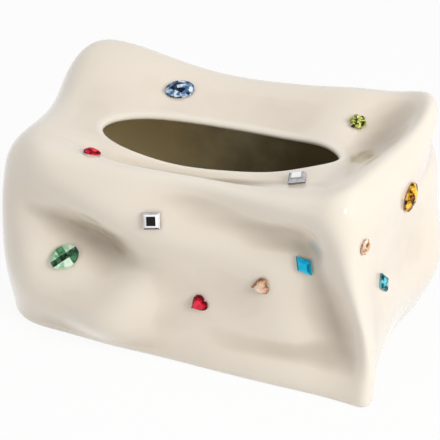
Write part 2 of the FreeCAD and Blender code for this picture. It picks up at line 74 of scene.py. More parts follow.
# Where the clay was pressed in or pulled out: the middle and the spread of each press in shares of
# half the length, half the depth and the height, then its push in shares of a dent or of the rise.
PRESS_SHARES = {
    "hump_back_left": ((-0.74, 0.78, 1), (0.32, 0.43, 0.47), (-1.5, 0.2, 2.75)),
    "rise_back": ((0.45, 1.08, 1), (0.7, 0.355, 0.47), (0, 0, 2.9)),
    "rise_back_right": ((0.82, 0.785, 1), (0.2, 0.405, 0.39), (1, 0.2, 1.7)),
    "rise_right": ((0.95, -0.06, 1), (0.123, 0.633, 0.31), (0, 0, 1.7)),
    "lift_right": ((0.615, -0.06, 1), (0.174, 0.38, 0.31), (0, 0, 0.7)),
    "groove_right": ((0.71, 0.48, 1), (0.1, 0.36, 0.31), (0, 0, -1.4)),
    "rise_front_right": ((0.76, -0.785, 1), (0.232, 0.253, 0.31), (0, 0, 0.5)),
    "rise_front": ((-0.25, -0.835, 1), (0.42, 0.177, 0.31), (0, 0, 0.65)),
    "shoulder_roll": ((0.4, -1, 1), (0.36, 0.2, 0.1), (0, -0.6, 0)),
    "crease_front": ((-0.1, -0.57, 1), (0.3, 0.05, 0.31), (0, 0, -1.1)),
    "rise_front_left": ((-0.855, -0.57, 1), (0.217, 0.506, 0.31), (-0.2, 0, 0.8)),
    "ridge_lean": ((0.99, -1, 0.9), (0.275, 0.506, 0.28), (-1.75, 0.5, 0)),
    "ridge_crest": ((0.96, -1, 0.52), (0.07, 0.3, 0.28), (0.5, -0.8, 0)),
    "ridge_foot": ((0.97, -1, 0), (0.145, 0.253, 0.156), (0.45, -0.3, 0)),
    "foot_front": ((0.4, -1, 0), (0.45, 0.253, 0.12), (0, -0.45, 0)),
    "front_dish": ((0.42, -1.05, 0.5), (0.36, 0.45, 0.23), (0, 1.1, 0)),
    "groove_top": ((0.69, -1.05, 0.7), (0.1, 0.45, 0.12), (0, 0.7, 0)),
    "groove_middle": ((0.77, -1.05, 0.48), (0.12, 0.45, 0.14), (0, 1.1, 0)),
    "groove_foot": ((0.83, -1.05, 0.27), (0.12, 0.45, 0.12), (0, 1.2, 0)),
    "shoulder_undercut": ((0.1, -1.05, 0.87), (0.26, 0.45, 0.08), (0, 1.5, 0)),
    "arch_undercut": ((0.5, -1.05, 0.785), (0.18, 0.45, 0.085), (0, 1.3, 0)),
    "lens_hollow": ((0.6, -1.05, 0.18), (0.22, 0.45, 0.05), (0, 0.45, 0)),
    "upper_lobe": ((-0.35, -1.05, 0.8), (0.18, 0.45, 0.12), (0, -0.3, 0)),
    "valley_start": ((-0.86, -1.08, 0.8), (0.11, 0.506, 0.08), (0, 0.8, 0)),
    "valley_upper": ((-0.67, -1.08, 0.68), (0.11, 0.506, 0.08), (0, 0.9, 0)),
    "valley_lower": ((-0.51, -1.08, 0.59), (0.11, 0.506, 0.08), (0, 1.2, 0)),
    "valley_pit": ((-0.38, -1.08, 0.53), (0.11, 0.506, 0.08), (0, 1.5, 0)),
    "left_lobe": ((-0.78, -1.08, 0.34), (0.13, 0.506, 0.12), (0, -0.8, 0)),
    "cheek_top": ((-0.22, -1.08, 0.34), (0.09, 0.506, 0.09), (0, -0.8, 0)),
    "cheek_middle": ((-0.34, -1.08, 0.2), (0.12, 0.506, 0.1), (0, -1.1, 0)),
    "cheek_foot": ((-0.45, -1.08, 0.18), (0.16, 0.506, 0.08), (0, -0.5, 0)),
    "left_bulge": ((-1.01, -0.38, 0.55), (0.217, 0.633, 0.25), (-0.6, -0.2, 0)),
    "left_dish": ((-1.01, 0.3, 0.6), (0.29, 0.35, 0.25), (0.9, 0, 0)),
    "back_dish": ((-0.145, 1.08, 0.47), (0.435, 0.506, 0.27), (0, -0.35, 0)),
    "back_dent": ((0.51, 1.08, 0.66), (0.19, 0.506, 0.125), (0, -0.5, 0)),
    "back_bulge": ((0.43, 1.08, 0.22), (0.29, 0.506, 0.14), (0, 0.4, 0)),
    "right_dish": ((1.01, -0.05, 0.586), (0.29, 0.43, 0.234), (-0.85, 0, 0)),
    "right_hollow": ((1.01, -0.72, 0.45), (0.217, 0.22, 0.24), (-0.75, 0, 0)),
    "right_pinch": ((1.01, 0.785, 0.81), (0.145, 0.28, 0.06), (-1.2, -0.3, 0)),
    "right_low_bulge": ((1.01, 0.835, 0.27), (0.174, 0.38, 0.16), (1.1, 0, 0)),
    "right_foot_tuck": ((1.01, 0.1, 0), (0.174, 0.5, 0.16), (-1, 0, 0)),
}


def ease(way):
    """A step from 0 to 1 with soft ends."""
    way = np.clip(way, 0, 1)
    return way * way * (3 - 2 * way)


def turning(angle):
    """Rows that turn a flat place anticlockwise by that angle, when it is multiplied by them."""
    return np.array(((np.cos(angle), np.sin(angle)), (-np.sin(angle), np.cos(angle))))


def plan(corner_radii):
    """A rounded rectangle, anticlockwise from the front right corner: its places, the ways out from
    them, and the radius there, which is endless on the straight runs."""
    radii = np.array(corner_radii)
    sides = np.array(((1, -1), (1, 1), (-1, 1), (-1, -1)))
    centres = sides * (BODY[:2] / 2 - radii[:, None])
    places, outs, bends = [], [], []
    for k in range(4):
        turns = (k - 1 + (np.arange(CORNER_COLUMNS) + 0.5) / CORNER_COLUMNS) * np.pi / 2
        round_outs = np.column_stack([np.cos(turns), np.sin(turns)])
        out = np.round((np.cos(k * np.pi / 2), np.sin(k * np.pi / 2)))
        count = LONG_COLUMNS if k % 2 else END_COLUMNS
        ways = ((np.arange(count) + 0.5) / count)[:, None]
        start = centres[k] + out * radii[k]
        end = centres[(k + 1) % 4] + out * radii[(k + 1) % 4]
        places += [centres[k] + radii[k] * round_outs, start + (end - start) * ways]
        outs += [round_outs, np.tile(out, (count, 1))]
        bends += [np.full(CORNER_COLUMNS, radii[k]), np.full(count, np.inf)]
    return np.concatenate(places), np.concatenate(outs), np.concatenate(bends)


def skin_poles():
    """Rows of poles from the foot's outer edge up the wall, over the top, round the lip and back down
    inside: each row is the plan drawn in by its own inset, at its own height."""
    foot, out, _ = plan(FOOT_CORNERS)
    top, _, bend = plan(TOP_CORNERS)
    facing, hidden = np.clip(out, 0, None) ** 2, np.clip(-out, 0, None) ** 2
    along = ease(top[:, 0] / BODY[0] + 0.5)
    shoulder_front = SHOULDER_FRONT_LEFT + (SHOULDER_FRONT_RIGHT - SHOULDER_FRONT_LEFT) * along
    shoulder = facing @ (SHOULDER_RIGHT, SHOULDER_BACK)
    shoulder = shoulder + hidden[:, 0] * SHOULDER_LEFT + hidden[:, 1] * shoulder_front
    shoulder = np.minimum(shoulder, SHOULDER_LIMIT_SHARE * bend)
    bearing = np.arctan2(top[:, 1] / BODY[1], top[:, 0] / BODY[0])
    round_slot = np.column_stack([np.cos(bearing), np.sin(bearing)])
    swing = turning(SLOT_TURN)
    lip = round_slot * SLOT / 2 @ swing + SLOT_CENTRE
    lip_out = round_slot / SLOT
    lip_out = lip_out / np.linalg.norm(lip_out, axis=1, keepdims=True) @ swing
    height = BODY[2]
    spring = height - shoulder
    low = FOOT_SHARES[0][0] * 2 * FOOT_ROUND
    rows = []

    def wall(inset, level):
        """A row at that level: the foot's plan eased into the top's, and drawn in by the inset."""
        level = level + np.zeros(len(foot))
        opened = ease(level / (CORNER_BLEND_SHARE * height))[:, None]
        inset = (inset + np.zeros(len(foot)))[:, None]
        rows.append(np.column_stack([foot + (top - foot) * opened - out * inset, level]))

    def over(way, level, back):
        """A row at that level, part of the way from the shoulder's inner edge to just outside the lip."""
        start = top - out * shoulder[:, None]
        places = start + (lip + lip_out * back - start) * way
        rows.append(np.column_stack([places, np.full(len(foot), level)]))

    def tucked(level):
        """How far the wall is drawn in at that level, which eases off above the foot."""
        return FOOT_TUCK * (1 - ease(level / TUCK_HEIGHT))

    for inward, up in FOOT_SHARES:
        wall(FOOT_TUCK + inward * FOOT_ROUND, up * FOOT_ROUND)
    for row in range(WALL_ROWS):
        level = low + (spring - low) * row / WALL_ROWS
        wall(tucked(level), level)
    for turn in SHOULDER_SHARES * np.pi / 2:
        wall(shoulder * (1 - np.cos(turn)), spring + shoulder * np.sin(turn))
    for way in TOP_SHARES:
        over(way, height, WALL)
    for back, down in LIP_SHARES:
        over(1, height - down * WALL, back * WALL)
    for way in INNER_TOP_SHARES:
        over(way, height - WALL, WALL)
    inner = shoulder - WALL
    for turn in INNER_SHOULDER_SHARES * np.pi / 2:
        wall(WALL + inner * (1 - np.cos(turn)), spring + inner * np.sin(turn))
    for row in range(INNER_WALL_ROWS - 1, 0, -1):
        level = low + (spring - low) * row / INNER_WALL_ROWS
        wall(WALL + tucked(level), level)
    for inward, up in INNER_FOOT_SHARES:
        wall(FOOT_TUCK + WALL + inward * FOOT_ROUND, up * FOOT_ROUND)
    return np.array(rows)


def pressed(poles):
    """Every press moves a pole by its push times a bell curve of the distance from its middle. The
    foot stays flat. The whole is then centred on the origin."""
    scale = BODY * (0.5, 0.5, 1)
    reach = np.array((DENT_DEPTH, DENT_DEPTH, RIM_RISE))
    moves = np.zeros_like(poles)
    for middle, spread, push in PRESS_SHARES.values():
        force = np.exp(-0.5 * (((poles / scale - middle) / spread) ** 2).sum(-1))
        moves += force[..., None] * reach * push
    moves[..., 2] *= ease(poles[..., 2] / QUIET_HEIGHT)
    moved = poles + moves
    middle = (moved.min((0, 1)) + moved.max((0, 1))) / 2
    return moved - middle * (1, 1, 0)


def closed_weights(count, ways):
    """How much each of a ring of poles pulls at each place round it, by the even cubic B-spline."""
    steps = ways * count
    first = np.floor(steps).astype(int)
    w = (steps - first)[:, None]
    pulls = np.hstack([(1 - w) ** 3, 3 * w ** 3 - 6 * w ** 2 + 4,
                       -3 * w ** 3 + 3 * w ** 2 + 3 * w + 1, w ** 3]) / 6
    weights = np.zeros((len(ways), count))
    places = (first[:, None] + np.arange(-1, 3)) % count
    np.put_along_axis(weights, places, pulls, 1)
    return weights


# Keeps the last place just short of a row's end, and a step of no length harmless.
NEARLY_NOTHING = 1e-12


def open_weights(count, ways):
    """How much each of a row of poles pulls at each place along it, by the cubic B-spline that ends on
    the first and last pole, raised from steps to cubics one degree at a time."""
    knots = np.concatenate([np.zeros(3), np.linspace(0, 1, count - 2), np.ones(3)])
    ways = np.clip(ways, 0, 1 - NEARLY_NOTHING)[:, None]
    weights = ((ways >= knots[:-1]) & (ways < knots[1:])).astype(float)
    for degree in (1, 2, 3):
        rise = knots[degree:-1] - knots[:-degree - 1]
        fall = knots[degree + 1:] - knots[1:-degree]
        nothing = np.zeros((len(ways), len(rise)))
        up = np.divide(ways - knots[:-degree - 1], rise, out=nothing.copy(), where=rise > 0)
        down = np.divide(knots[degree + 1:] - ways, fall, out=nothing.copy(), where=fall > 0)
        weights = up * weights[:, :-1] + down * weights[:, 1:]
    return weights


POLES = pressed(skin_poles())


def skin(up_ways, round_ways):
    """The places on the skin at every pair of ways: the poles weighted up the section and round it."""
    up = open_weights(POLES.shape[0], np.atleast_1d(up_ways))
    across = closed_weights(POLES.shape[1], np.atleast_1d(round_ways))
    return np.einsum("ia,jb,abk->ijk", up, across, POLES, optimize=True)


class Wire:
    """One socket of a material's nodes. Sums, differences and products of wires add Math nodes."""

    def __init__(self, tree, socket=None):
        self.tree = tree
        self.socket = socket

    def node(self, kind, settings=None, sockets=None, out=0):
        """A node of that kind: its settings are set first, then the values or links of its sockets."""
        made = self.tree.nodes.new(kind)
        for name, value in (settings or {}).items():
            if name == "stops":
                # A new ramp has two stops already.
                for k, (place, colour) in enumerate(value):
                    stop = made.color_ramp.elements[k] if k < 2 else made.color_ramp.elements.new(place)
                    stop.position = place
                    stop.color = colour
            else:
                setattr(made, name, value)
        for name, value in (sockets or {}).items():
            if isinstance(value, Wire):
                self.tree.links.new(value.socket, made.inputs[name])
            else:
                made.inputs[name].default_value = value
        return Wire(self.tree, made.outputs[out])

    def maths(self, operation, *values):
        """A Math node on those values."""
        return self.node("ShaderNodeMath", {"operation": operation}, dict(enumerate(values)))

    def clamped(self):
        """This wire, kept from 0 to 1."""
        return self.node("ShaderNodeClamp", None, {"Value": self})

    def between(self, low, high):
        """A soft step from 0 at low to 1 at high."""
        return self.node("ShaderNodeMapRange", {"interpolation_type": "SMOOTHSTEP"},
                         {"Value": self, "From Min": low, "From Max": high})

    def mixed(self, first, second):
        """The first colour where this wire is 0 and the second where it is 1. A Mix node has its colours
        on inputs 6 and 7 and on output 2."""
        return self.node("ShaderNodeMix", {"data_type": "RGBA"}, {0: self, 6: first, 7: second}, 2)

    def noise(self, scale, detail=2.0):
        """Soft clouds, which take this wire as the place and have that many lumps to a metre."""
        return self.node("ShaderNodeTexNoise", None, {"Vector": self, "Scale": scale, "Detail": detail})

    def __add__(self, other):
        return self.maths("ADD", self, other)

    __radd__ = __add__

    def __sub__(self, other):
        return self.maths("SUBTRACT", self, other)

    def __rsub__(self, other):
        return self.maths("SUBTRACT", other, self)

    def __mul__(self, other):
        return self.maths("MULTIPLY", self, other)

    __rmul__ = __mul__


def new_material(name):
    """A bare material, the wire that starts its nodes, and the node that takes its finished surface."""
    material = bpy.data.materials.new(name)
    material.use_nodes = True
    material.node_tree.nodes.clear()
    output = material.node_tree.nodes.new("ShaderNodeOutputMaterial")
    return material, Wire(material.node_tree), output


def surfaced(start, output, **sockets):
    """Ends a material in one Principled surface. Underscores in the names stand for spaces."""
    shader = start.node("ShaderNodeBsdfPrincipled", None,
                        {name.replace("_", " "): value for name, value in sockets.items()})
    start.tree.links.new(shader.socket, output.inputs["Surface"])


CREAM = (0.80, 0.71, 0.595, 1)
THIN_GLAZE = (0.82, 0.75, 0.645, 1)
# The deep colour in the hollows is pooled glaze and painted shade at once.
POOLED_GLAZE_AND_SHADE = (0.42, 0.34, 0.245, 1)
# The inside's buff colour: painted light for its left end and painted shade for its right end.
INNER_PAINTED_LIGHT = (0.93, 0.81, 0.54, 1)
INNER_PAINTED_SHADE = (0.20, 0.16, 0.08, 1)
BARE_CLAY = (0.66, 0.60, 0.51, 1)
# Where along the inside the painted light gives way to painted shade, how far its clouds blur that, and how
# high the foot is wiped.
INNER_SHADE_SPAN = (-0.085, 0.045)
INNER_SHADE_BLUR = 0.07
FOOT_LINE = 0.0009
# Lumps to a metre and heights of the slow roll and the fine grain, and how much the roll shifts the tone.
CLOUDS_TO_A_METRE, ROLL_HEIGHT = 38, 0.00022
CLOUD_DETAIL = 3
GRAINS_TO_A_METRE, GRAIN_HEIGHT = 2600, 0.0000012
THIN_CLOUD_SHARE, POOLED_SHADE_CLOUD_SHARE = 0.3, 0.35
# The roughness of the glaze, how far the clouds vary it, and what bare or unpolished places add.
GLOSS, GLOSS_SPREAD, DULLNESS = 0.16, 0.08, 0.6


def glaze():
    """A thick glossy glaze: paler where it drew thin over ridges, deeper where it ran into hollows and
    darkened there with painted shade, with slow clouds of colour, a faint roll of the surface, and bare clay
    on the wiped foot. Inside, its colour is painted light at the left end and painted shade towards the
    right."""
    material, start, output = new_material("cream_glaze")
    place = start.node("ShaderNodeTexCoord", out="Object")
    height = start.node("ShaderNodeSeparateXYZ", None, {0: place}, "Z")
    along = start.node("ShaderNodeSeparateXYZ", None, {0: place}, "X")
    bend = start.node("ShaderNodeAttribute", {"attribute_name": "bend"}, out="Fac")
    clouds = place.noise(CLOUDS_TO_A_METRE, CLOUD_DETAIL)
    grain = place.noise(GRAINS_TO_A_METRE)
    thin = ((bend - 0.5) * 2 + (clouds - 0.5) * THIN_CLOUD_SHARE).clamped()
    # Where the skin bends in, the colour darkens as pooled glaze and as painted shade.
    pooled_and_shaded = ((0.5 - bend) * 2 + (0.5 - clouds) * POOLED_SHADE_CLOUD_SHARE).clamped()
    inside = start.node("ShaderNodeAttribute", {"attribute_name": "inside"}, out="Fac")
    # Inside, painted light at the left end gives way to painted shade towards the right.
    inner_shade_share = (along + (clouds - 0.5) * INNER_SHADE_BLUR).between(*INNER_SHADE_SPAN)
    inner_light_and_shade = inner_shade_share.mixed(INNER_PAINTED_LIGHT, INNER_PAINTED_SHADE)
    colour = inside.mixed(pooled_and_shaded.mixed(thin.mixed(CREAM, THIN_GLAZE), POOLED_GLAZE_AND_SHADE), inner_light_and_shade)
    foot = 1 - (height + (grain - 0.5) * FOOT_LINE).between(FOOT_LINE / 2, FOOT_LINE)
    roll = start.node("ShaderNodeBump", None,
                      {"Strength": 1.0, "Distance": ROLL_HEIGHT, "Height": clouds}, "Normal")
    skin_grain = start.node("ShaderNodeBump", None,
                            {"Strength": 1.0, "Distance": GRAIN_HEIGHT, "Height": grain, "Normal": roll},
                            "Normal")
    surfaced(start, output, Base_Color=foot.mixed(colour, BARE_CLAY),
             Roughness=GLOSS + (clouds - 0.5) * GLOSS_SPREAD + (foot + inside) * DULLNESS,
             Coat_Weight=(1 - foot) * (1 - inside), Coat_Roughness=0.1,
             Coat_IOR=1.5, Specular_IOR_Level=0.4, Normal=skin_grain)
    return material


def add_piece(name, points, faces, material, replaced, smooth):
    """A mesh of those points and faces, which rides on the cover's one body and stands for a node."""
    mesh = bpy.data.meshes.new(name)
    mesh.from_pydata(np.asarray(points).reshape(-1, 3).tolist(), [], [list(face) for face in faces])
    mesh.materials.append(material)
    mesh.polygons.foreach_set("use_smooth", np.full(len(mesh.polygons), smooth))
    mesh.update()
    piece = bpy.data.objects.new(name, mesh)
    bpy.context.scene.collection.objects.link(piece)
    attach(piece, "root")
    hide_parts(replaced)
    return piece


def grid_faces(rows, columns):
    """The four corners of every cell of a grid that is closed both ways."""
    row, column = np.meshgrid(np.arange(rows), np.arange(columns), indexing="ij")
    next_row, next_column = (row + 1) % rows, (column + 1) % columns
    corners = [row * columns + column, row * columns + next_column,
               next_row * columns + next_column, next_row * columns + column]
    return np.stack(corners, -1).reshape(-1, 4)


# The radius of a soft edge, against which bends are measured.
SOFT_EDGE = 0.012


def bend_of(points):
    """How sharply the skin bends out, at 1, or in, at 0, with flat at a half: the turn of its normal along
    each way of the grid, over the step, summed and measured against the bend of a soft edge."""
    step_round = np.roll(points, -1, 1) - np.roll(points, 1, 1)
    step_up = np.gradient(points, axis=0)
    out = np.cross(step_round, step_up)
    out /= np.linalg.norm(out, axis=-1, keepdims=True) + NEARLY_NOTHING
    turn_round = np.roll(out, -1, 1) - np.roll(out, 1, 1)
    turn_up = np.gradient(out, axis=0)
    bend = sum((turn * step).sum(-1) / ((step * step).sum(-1) + NEARLY_NOTHING)
               for turn, step in ((turn_round, step_round), (turn_up, step_up)))
    return 0.5 + 0.5 * np.tanh(bend * SOFT_EDGE)


ROWS_PER_SPAN, COLUMNS_PER_SPAN = 6, 6
# The row of poles in the middle of the lip, counted from its first, and how softly the inside starts there.
LIP_MIDDLE_ROW = 2
INSIDE_START_SHARE = 0.06
row_count = (POLES.shape[0] - 3) * ROWS_PER_SPAN + 1
column_count = POLES.shape[1] * COLUMNS_PER_SPAN
up_ways = np.linspace(0, 1, row_count)
skin_points = skin(up_ways, np.arange(column_count) / column_count)
body = add_piece("glazed_body", skin_points, grid_faces(row_count, column_count), glaze(),
                 "ceramic_body", True)
lip_row = len(FOOT_SHARES) + WALL_ROWS + len(SHOULDER_SHARES) + len(TOP_SHARES) + LIP_MIDDLE_ROW
inside_shares = ease((up_ways - lip_row / POLES.shape[0]) / INSIDE_START_SHARE)
inside = body.data.attributes.new("inside", "FLOAT", "POINT")
inside.data.foreach_set("value", np.repeat(inside_shares, column_count))
bend = body.data.attributes.new("bend", "FLOAT", "POINT")
bend.data.foreach_set("value", bend_of(skin_points).astype(np.float32).ravel())

# The stones. Flat-backed glass, pressed and then ground to flat facets, with a mirror foil on the back
# that throws the light out again. That light is painted into each facet's colour as painted reflection, so
# that one facet looks pale and the next nearly black. Each is cemented to the glaze, square to it, on a film
# of cement over the highest point beneath it.

GLUE_FILM = 0.0006
# The grid of points under a stone on which its seat is felt out, and the step for the skin's slope there.
SEAT_STEPS = 6
SLOPE_STEP = 1e-4
# Length, width and height of each cut, and how much of the height is its straight girdle.
CUT_SIZES = {
    "large_oval": (0.021, 0.0155, 0.0042, 0.0012),
    "small_oval": (0.0105, 0.008, 0.003, 0.0009),
    "pear": (0.012, 0.009, 0.0032, 0.001),
    "square": (0.0115, 0.0115, 0.0034, 0.001),
    "heart": (0.012, 0.012, 0.0032, 0.001),
    "rhombus": (0.017, 0.011, 0.003, 0.001),
    "flower": (0.012, 0.012, 0.0036, 0.0012),
}
CUTS_WITHIN_AN_OVAL = ("large_oval", "small_oval", "pear", "rhombus")


def stone_seat(cut, round_share, up_share, turn):
    """Where a stone's flat back lies, a film above the highest point of the skin beneath it, and its three
    ways: along it, across it and out of the skin."""
    middle = skin(up_share, round_share)[0, 0]
    ahead, behind = (skin(up_share, round_share + step)[0, 0] for step in (SLOPE_STEP, -SLOPE_STEP))
    along_round = (ahead - behind) / (2 * SLOPE_STEP)
    above, below = (skin(up_share + step, round_share)[0, 0] for step in (SLOPE_STEP, -SLOPE_STEP))
    along_up = (above - below) / (2 * SLOPE_STEP)
    out = np.cross(along_round, along_up)
    out /= np.linalg.norm(out)
    east = along_round / np.linalg.norm(along_round)
    length_way = east * np.cos(turn) + np.cross(out, east) * np.sin(turn)
    width_way = np.cross(out, length_way)
    half = np.array(CUT_SIZES[cut][:2]) / 2
    steps = np.arange(-SEAT_STEPS, SEAT_STEPS + 1) / SEAT_STEPS * np.linalg.norm(half)
    near = skin(up_share + steps / np.linalg.norm(along_up),
                round_share + steps / np.linalg.norm(along_round)) - middle
    reached = np.abs(np.stack([near @ length_way, near @ width_way], -1)) / half
    reached = np.linalg.norm(reached, axis=-1) if cut in CUTS_WITHIN_AN_OVAL else reached.max(-1)
    highest = max(0, (near @ out)[reached <= 1].max())
    return middle + out * (highest + GLUE_FILM), np.array((length_way, width_way, out))


# The least lean between three cuts that meet in a corner, how much of a corner another cut may touch without
# taking it away, the digits to which corners are told apart, and how near a cut a corner on it lies.
LEAST_LEAN = 1e-4
GRINDING_SLACK = 1e-8
CORNER_DIGITS = 7
ON_CUT = 3e-7
# Added to a facet's normal to get some way across it that isn't along the normal.
SKEW = (0.3, 0.1, 0.2)


def ground(normals, reaches):
    """What is left of a blank when flat cuts are ground off it. Its corners are the points where three
    cuts meet and which no other cut takes away, and a facet is the corners on one cut, in order."""
    threes = np.array(list(itertools.combinations(range(len(normals)), 3)))
    threes = threes[np.abs(np.linalg.det(normals[threes])) > LEAST_LEAN]
    corners = np.linalg.solve(normals[threes], reaches[threes][..., None])[..., 0]
    kept = (corners @ normals.T <= reaches + GRINDING_SLACK).all(1)
    corners = np.unique(np.round(corners[kept], CORNER_DIGITS) + 0.0, axis=0)
    on_cut = np.abs(corners @ normals.T - reaches) < ON_CUT
    facets = []
    for k, normal in enumerate(normals):
        around = np.flatnonzero(on_cut[:, k])
        if len(around) < 3:
            continue
        spokes = corners[around] - corners[around].mean(0)
        east = np.cross(normal, np.roll(normal, 1) + SKEW)
        bearings = np.arctan2(spokes @ np.cross(normal, east), spokes @ east)
        facets.append((around[np.argsort(bearings)], k))
    return corners, facets


def tier(outline, turns, rise, share=1.0, level=0.0):
    """Cuts that lean in all round: each touches the outline, drawn to a share of its size and lifted to a
    level, and its normal rises by an angle from flat."""
    ways = np.column_stack([np.cos(turns), np.sin(turns)])
    touch = (ways @ outline.T).max(1) * share
    normals = np.column_stack([ways * np.cos(rise), np.full(len(turns), np.sin(rise))])
    return normals, touch * np.cos(rise) + level * np.sin(rise)


# The numbers of a stone's back, of its table, and of the first of its other facets.
BACK, TABLE, FIRST_SIDE = 0, 1, 2


def flat_cuts(height):
    """The back and the table."""
    return np.array(((0, 0, -1), (0, 0, 1.0))), np.array((0, height))


def even_turns(count, start=0.0):
    """Angles spread evenly round a full turn, from a start that is counted in steps."""
    return (np.arange(count) + start) * 2 * np.pi / count


OVAL_SIDES = 32
# How much of its width a pear loses at its point.
PEAR_POINT_SHARE = 0.5


def oval_outline(half, sides=OVAL_SIDES):
    """Points spread evenly round a circle, stretched to the oval's half length and half width."""
    turns = even_turns(sides)
    return np.column_stack([np.cos(turns), np.sin(turns)]) * half


def pear_outline(half):
    """An oval whose far end narrows to a point, stretched to its length and width."""
    turns = even_turns(OVAL_SIDES)
    width = 1 - PEAR_POINT_SHARE * (1 + np.cos(turns)) / 2
    points = np.column_stack([np.cos(turns), np.sin(turns) * width])
    return points / np.abs(points).max(0) * half


def joined(*cuts):
    """Several groups of cuts as one."""
    return np.concatenate([c[0] for c in cuts]), np.concatenate([c[1] for c in cuts])


# The step of the checkerboard's lattice, in shares of the oval's half size, and its steps each way.
CHECKER_STEP_SHARE = 0.52
CHECKER_STEPS = 4


def checkered(size, lattice_turn, lattice_start):
    """An oval dome ground to a checkerboard: one cut touches a dome, which falls with the square of the
    way out, at every point of a square lattice over the oval."""
    half, height, girdle = np.array(size[:2]) / 2, size[2], size[3]
    crown = height - girdle
    steps = (np.arange(-CHECKER_STEPS, CHECKER_STEPS + 1) + lattice_start) * CHECKER_STEP_SHARE
    spots = np.stack(np.meshgrid(steps, steps), -1).reshape(-1, 2)
    spots = spots @ turning(lattice_turn)
    spots = spots[np.linalg.norm(spots, axis=1) < 1]
    places = np.column_stack([spots * half, girdle + crown * (1 - (spots ** 2).sum(1))])
    normals = np.column_stack([2 * crown * spots / half, np.ones(len(spots))])
    normals /= np.linalg.norm(normals, axis=1, keepdims=True)
    dome = normals, (normals * places).sum(1)
    sides = tier(oval_outline(half), even_turns(OVAL_SIDES, 0.5), 0)
    return joined(flat_cuts(height), dome, sides)


# The tiers of cuts round each table. A tier has a number of cuts, where the first of them stands, their
# rise in degrees, and the shares of the outline and of the crown at which they touch.
TIERS = {
    "small_oval": ((12, 0, 40, 1, 0), (8, 0.5, 62, 0.75, 0.6)),
    "pear": ((14, 0, 42, 1, 0), (9, 0.5, 62, 0.74, 0.6)),
    "square": ((4, 0, 38, 1, 0), (4, 0, 62, 0.9, 0.55)),
    "petal": ((8, 0.5, 42, 1, 0), (6, 0, 62, 0.62, 0.62)),
    "hub": ((8, 0.5, 45, 1, 0.2), (6, 0, 66, 0.7, 0.7)),
}


def stepped(size, outline, sides, start, tiers):
    """A table with tiers of cuts round it, and upright sides below them."""
    height, girdle = size[2], size[3]
    made = [flat_cuts(height)]
    for count, offset, rise, share, level in tiers:
        made.append(tier(outline, even_turns(count, offset), np.radians(rise), share,
                         girdle + (height - girdle) * level))
    made.append(tier(outline, even_turns(sides, start), 0))
    return joined(*made)


HEART_SIDES = 28
# The shares of the heart's curve that its first four cosines have, and those of the outline and of the crown
# at which its rings lie.
HEART_CURVE_SHARES = (0.85, -0.22, -0.1, -0.04)
HEART_RING_SHARES = ((0.8, 0.7), (0.62, 1))


def heart_outline(half):
    """The cubed-sine heart curve, with its point down, stretched to its length and width."""
    turns = even_turns(HEART_SIDES)
    y = sum(part * np.cos((k + 1) * turns) for k, part in enumerate(HEART_CURVE_SHARES))
    points = np.column_stack([-np.sin(turns) ** 3, y])
    low, high = points.min(0), points.max(0)
    return (points - (low + high) / 2) / ((high - low) / 2) * half


def stacked(size, outline, rings):
    """A stone of any outline: rings of it at shares of its size and of its crown, with flat sides
    between them."""
    height, girdle = size[2], size[3]
    count = len(outline)
    levels = [(1, 0), (1, girdle)] + [(share, girdle + (height - girdle) * up) for share, up in rings]
    corners = np.concatenate([np.column_stack([outline * share, np.full(count, level)])
                              for share, level in levels])
    around = np.arange(count)
    after = (around + 1) % count
    facets = []
    for k in range(len(levels) - 1):
        sides = np.stack([around, after, after + count, around + count], -1) + k * count
        facets += [(side, FIRST_SIDE + k * count + n) for n, side in enumerate(sides)]
    facets.append((around[::-1], BACK))
    facets.append((around + (len(levels) - 1) * count, TABLE))
    return corners, facets


PETALS = 6
PETAL_SIDES, HUB_SIDES = 24, 16
# In shares of the cluster's half width: a petal's half length and half width, how far out it stands, and
# the hub's half width. Then how much a petal's ends are drawn in, and its height in shares of the hub's.
PETAL_LENGTH_SHARE, PETAL_WIDTH_SHARE, PETAL_PLACE_SHARE, HUB_SHARE = 0.46, 0.38, 0.58, 0.4
PETAL_POINT_SHARE = 0.55
PETAL_HEIGHT_SHARE = 0.85
# How far apart the numbers of two petals' facets lie, so that their tones differ.
NUMBERS_PER_PETAL = 40


def petals(size):
    """A cluster: small pointed stones round a middle one. A petal is an oval whose width shrinks with the
    square of the way to its ends."""
    half, height, girdle = size[0] / 2, size[2], size[3]
    turns = even_turns(PETAL_SIDES)
    drawn_in = 1 - PETAL_POINT_SHARE * np.abs(np.cos(turns)) ** 2
    leaf = np.column_stack([np.cos(turns), np.sin(turns) * drawn_in])
    leaf *= (half * PETAL_LENGTH_SHARE, half * PETAL_WIDTH_SHARE)
    petal_size = (0, 0, height * PETAL_HEIGHT_SHARE, girdle)
    one = ground(*stepped(petal_size, leaf, PETAL_SIDES, 0.5, TIERS["petal"]))
    hub_outline = oval_outline(np.array((half, half)) * HUB_SHARE, HUB_SIDES)
    hub = ground(*stepped((0, 0, height, girdle), hub_outline, HUB_SIDES, 0.5, TIERS["hub"]))
    corners, facets = [hub[0]], list(hub[1])
    total = len(hub[0])
    for k, turn in enumerate(even_turns(PETALS)):
        spin = np.eye(3)
        spin[:2, :2] = turning(turn)
        corners.append((one[0] + (half * PETAL_PLACE_SHARE, 0, 0)) @ spin)
        facets += [(facet + total, cut + NUMBERS_PER_PETAL * (k + 1)) for facet, cut in one[1]]
        total += len(one[0])
    return np.concatenate(corners), facets


# The painted reflection tone of each cut's table and of the heart's three rings, from the outside in.
TABLE_REFLECTION_TONES = {
    "large_oval": 0.85, "small_oval": 0.6, "pear": 0.5, "heart": 0.75, "rhombus": 0.6, "flower": 0.7,
}
HEART_REFLECTION_TONES = (0.1, 0.14, 0.42)
HEART_SCATTER = 0.3
